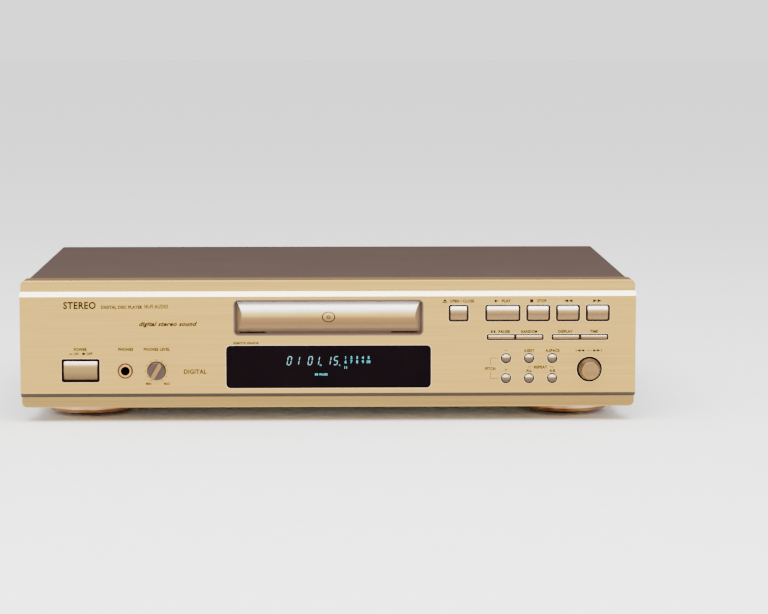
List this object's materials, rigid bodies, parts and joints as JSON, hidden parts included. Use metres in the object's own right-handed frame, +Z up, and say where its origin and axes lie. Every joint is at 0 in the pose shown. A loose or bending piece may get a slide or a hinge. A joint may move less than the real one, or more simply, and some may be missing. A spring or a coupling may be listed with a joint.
{
  "type": "compact disc player",
  "caption": "Full-width front-loading compact disc player with a motor-driven tray, a laser unit that lifts to the disc, a display window, push buttons, a level knob and a jog knob.",
  "frame": {"origin": "on the table, under the centre of the player's outer box", "axes": "+X to the right of someone facing the front, +Y from front to rear, +Z up"},
  "size_m": [0.434, 0.298, 0.101],
  "materials": {
    "gold_panel": "brushed gold anodised, grain along the width",
    "gold_metal": "turned or drawn gold metal",
    "brown_paint": "satin brown-grey paint",
    "zinc_steel": "zinc-plated sheet",
    "black_paint": "satin black paint",
    "gold_plastic": "metallic gold lacquer",
    "bezel_plastic": "satin brown-gold moulding",
    "dark_plastic": "dark moulding",
    "window_plastic": "smoked acrylic",
    "tube_glass": "clear glass",
    "board": "phenolic circuit board",
    "rubber": "matt black rubber",
    "black_plastic": "fine satin moulding",
    "grey_plastic": "fine satin moulding",
    "white_plastic": "natural acetal",
    "bright_steel": "ground and polished",
    "iron_core": "varnished laminations",
    "can_sleeve": "printed sleeve",
    "brass": "gold-plated brass"
  },
  "bodies": {
    "case": {"top_cover": "brown_paint", "fascia": "gold_panel", "front_plate": "zinc_steel", "base_pan": "zinc_steel", "rear_panel": "black_paint", "case_screws": "bright_steel", "feet": "gold_metal", "foot_pads": "rubber", "tray_bezel": "bezel_plastic", "display_window": "window_plastic", "display_tube": "tube_glass", "control_board": "board", "key_guide": "dark_plastic", "tact_switches": "black_plastic", "power_switch": "black_plastic", "headphone_jack": "black_plastic", "jack_ring": "brass", "level_pot": "zinc_steel", "jog_encoder": "zinc_steel", "transformer": "iron_core", "power_board": "board", "main_board": "board", "capacitors": "can_sleeve", "phono_jacks": "brass", "ac_inlet": "black_plastic", "loader_frame": "black_plastic", "loading_belt": "rubber", "loading_motor": "zinc_steel", "clamp_bridge": "zinc_steel"},
    "tray": {"disc_tray": "grey_plastic", "tray_door": "gold_plastic"},
    "drive": {"drive_gear": "white_plastic"},
    "pulley": {"pulley_gear": "white_plastic"},
    "motor_drive": {"motor_pulley": "brass"},
    "cam": {"cam_slider": "white_plastic"},
    "traverse": {"traverse_chassis": "zinc_steel", "traverse_motors": "zinc_steel", "guide_rods": "bright_steel"},
    "spindle": {"turntable": "black_plastic"},
    "clamp": {"clamp_puck": "black_plastic"},
    "sled": {"pickup": "black_plastic"},
    "sled_drive": {"sled_gear": "white_plastic"},
    "power": {"power_button": "gold_plastic"},
    "level": {"level_knob": "gold_plastic"},
    "jog": {"jog_knob": "gold_plastic"},
    "open_close_cap": {"open_close_button": "gold_plastic"},
    "play_cap": {"play_button": "gold_plastic"},
    "stop_cap": {"stop_button": "gold_plastic"},
    "rewind_cap": {"rewind_button": "gold_plastic"},
    "forward_cap": {"forward_button": "gold_plastic"},
    "pitch_down_cap": {"pitch_down_button": "gold_plastic"},
    "pitch_up_cap": {"pitch_up_button": "gold_plastic"},
    "edit_cap": {"edit_button": "gold_plastic"},
    "space_cap": {"space_button": "gold_plastic"},
    "repeat_cap": {"repeat_button": "gold_plastic"},
    "repeat_ab_cap": {"repeat_ab_button": "gold_plastic"},
    "pause_cap": {"pause_key": "gold_plastic"},
    "random_cap": {"random_key": "gold_plastic"},
    "display_cap": {"display_key": "gold_plastic"},
    "time_cap": {"time_key": "gold_plastic"}
  },
  "joints": [
    {"name": "tray_slide", "type": "slide", "parent": "case", "child": "tray", "axis": [0, -1, 0], "range_m": [0, 0.14]},
    {"name": "drive_gear_turn", "type": "hinge", "parent": "case", "child": "drive", "pos_m": [0.034, -0.106, 0.065], "axis": [0, 0, 1], "range_deg": [-535, 0]},
    {"name": "pulley_gear_turn", "type": "hinge", "parent": "case", "child": "pulley", "pos_m": [0.012, -0.106, 0.061], "axis": [0, 0, 1], "range_deg": [0, 1427]},
    {"name": "motor_pulley_turn", "type": "hinge", "parent": "case", "child": "motor_drive", "pos_m": [-0.04, -0.106, 0.06], "axis": [0, 0, 1], "range_deg": [0, 6656]},
    {"name": "traverse_lift", "type": "slide", "parent": "case", "child": "traverse", "axis": [0, 0, 1], "range_m": [0, 0.008]},
    {"name": "cam_slide", "type": "slide", "parent": "case", "child": "cam", "axis": [1, 0, 0], "range_m": [0, 0.016]},
    {"name": "disc_spin", "type": "hinge", "parent": "traverse", "child": "spindle", "pos_m": [0, -0.062, 0.067], "axis": [0, 0, 1], "continuous": true},
    {"name": "clamp_spin", "type": "hinge", "parent": "case", "child": "clamp", "pos_m": [0, -0.062, 0.082], "axis": [0, 0, 1], "continuous": true},
    {"name": "sled_slide", "type": "slide", "parent": "traverse", "child": "sled", "axis": [0, 1, 0], "range_m": [0, 0.035]},
    {"name": "sled_gear_turn", "type": "hinge", "parent": "traverse", "child": "sled_drive", "pos_m": [0.034, -0.009, 0.0605], "axis": [0, 0, 1], "range_deg": [-335, 0]},
    {"name": "power_press", "type": "slide", "parent": "case", "child": "power", "axis": [0, 1, 0], "range_m": [0, 0.0035], "stiffness_N_per_m": 400, "springref_m": -0.0015},
    {"name": "level_turn", "type": "hinge", "parent": "case", "child": "level", "pos_m": [-0.1213, -0.142, 0.0374], "axis": [0, 1, 0], "range_deg": [0, 300]},
    {"name": "jog_turn", "type": "hinge", "parent": "case", "child": "jog", "pos_m": [0.1843, -0.142, 0.0378], "axis": [0, 1, 0], "continuous": true},
    {"name": "open_close_press", "type": "slide", "parent": "case", "child": "open_close_cap", "axis": [0, 1, 0], "range_m": [0, 0.0008], "stiffness_N_per_m": 600, "springref_m": -0.0006},
    {"name": "play_press", "type": "slide", "parent": "case", "child": "play_cap", "axis": [0, 1, 0], "range_m": [0, 0.0008], "stiffness_N_per_m": 600, "springref_m": -0.0006},
    {"name": "stop_press", "type": "slide", "parent": "case", "child": "stop_cap", "axis": [0, 1, 0], "range_m": [0, 0.0008], "stiffness_N_per_m": 600, "springref_m": -0.0006},
    {"name": "rewind_press", "type": "slide", "parent": "case", "child": "rewind_cap", "axis": [0, 1, 0], "range_m": [0, 0.0008], "stiffness_N_per_m": 600, "springref_m": -0.0006},
    {"name": "forward_press", "type": "slide", "parent": "case", "child": "forward_cap", "axis": [0, 1, 0], "range_m": [0, 0.0008], "stiffness_N_per_m": 600, "springref_m": -0.0006},
    {"name": "pitch_down_press", "type": "slide", "parent": "case", "child": "pitch_down_cap", "axis": [0, 1, 0], "range_m": [0, 0.0008], "stiffness_N_per_m": 600, "springref_m": -0.0006},
    {"name": "pitch_up_press", "type": "slide", "parent": "case", "child": "pitch_up_cap", "axis": [0, 1, 0], "range_m": [0, 0.0008], "stiffness_N_per_m": 600, "springref_m": -0.0006},
    {"name": "edit_press", "type": "slide", "parent": "case", "child": "edit_cap", "axis": [0, 1, 0], "range_m": [0, 0.0008], "stiffness_N_per_m": 600, "springref_m": -0.0006},
    {"name": "space_press", "type": "slide", "parent": "case", "child": "space_cap", "axis": [0, 1, 0], "range_m": [0, 0.0008], "stiffness_N_per_m": 600, "springref_m": -0.0006},
    {"name": "repeat_press", "type": "slide", "parent": "case", "child": "repeat_cap", "axis": [0, 1, 0], "range_m": [0, 0.0008], "stiffness_N_per_m": 600, "springref_m": -0.0006},
    {"name": "repeat_ab_press", "type": "slide", "parent": "case", "child": "repeat_ab_cap", "axis": [0, 1, 0], "range_m": [0, 0.0008], "stiffness_N_per_m": 600, "springref_m": -0.0006},
    {"name": "pause_press", "type": "slide", "parent": "case", "child": "pause_cap", "axis": [0, 1, 0], "range_m": [0, 0.0008], "stiffness_N_per_m": 600, "springref_m": -0.0006},
    {"name": "random_press", "type": "slide", "parent": "case", "child": "random_cap", "axis": [0, 1, 0], "range_m": [0, 0.0008], "stiffness_N_per_m": 600, "springref_m": -0.0006},
    {"name": "display_press", "type": "slide", "parent": "case", "child": "display_cap", "axis": [0, 1, 0], "range_m": [0, 0.0008], "stiffness_N_per_m": 600, "springref_m": -0.0006},
    {"name": "time_press", "type": "slide", "parent": "case", "child": "time_cap", "axis": [0, 1, 0], "range_m": [0, 0.0008], "stiffness_N_per_m": 600, "springref_m": -0.0006}
  ],
  "couplings": [
    {"joint": "drive_gear_turn", "follows": "tray_slide", "rad_per_m": -66.667},
    {"joint": "pulley_gear_turn", "follows": "tray_slide", "rad_per_m": 177.78},
    {"joint": "motor_pulley_turn", "follows": "tray_slide", "rad_per_m": 829.63},
    {"joint": "cam_slide", "follows": "traverse_lift", "ratio": 2},
    {"joint": "sled_gear_turn", "follows": "sled_slide", "rad_per_m": -166.67}
  ]
}
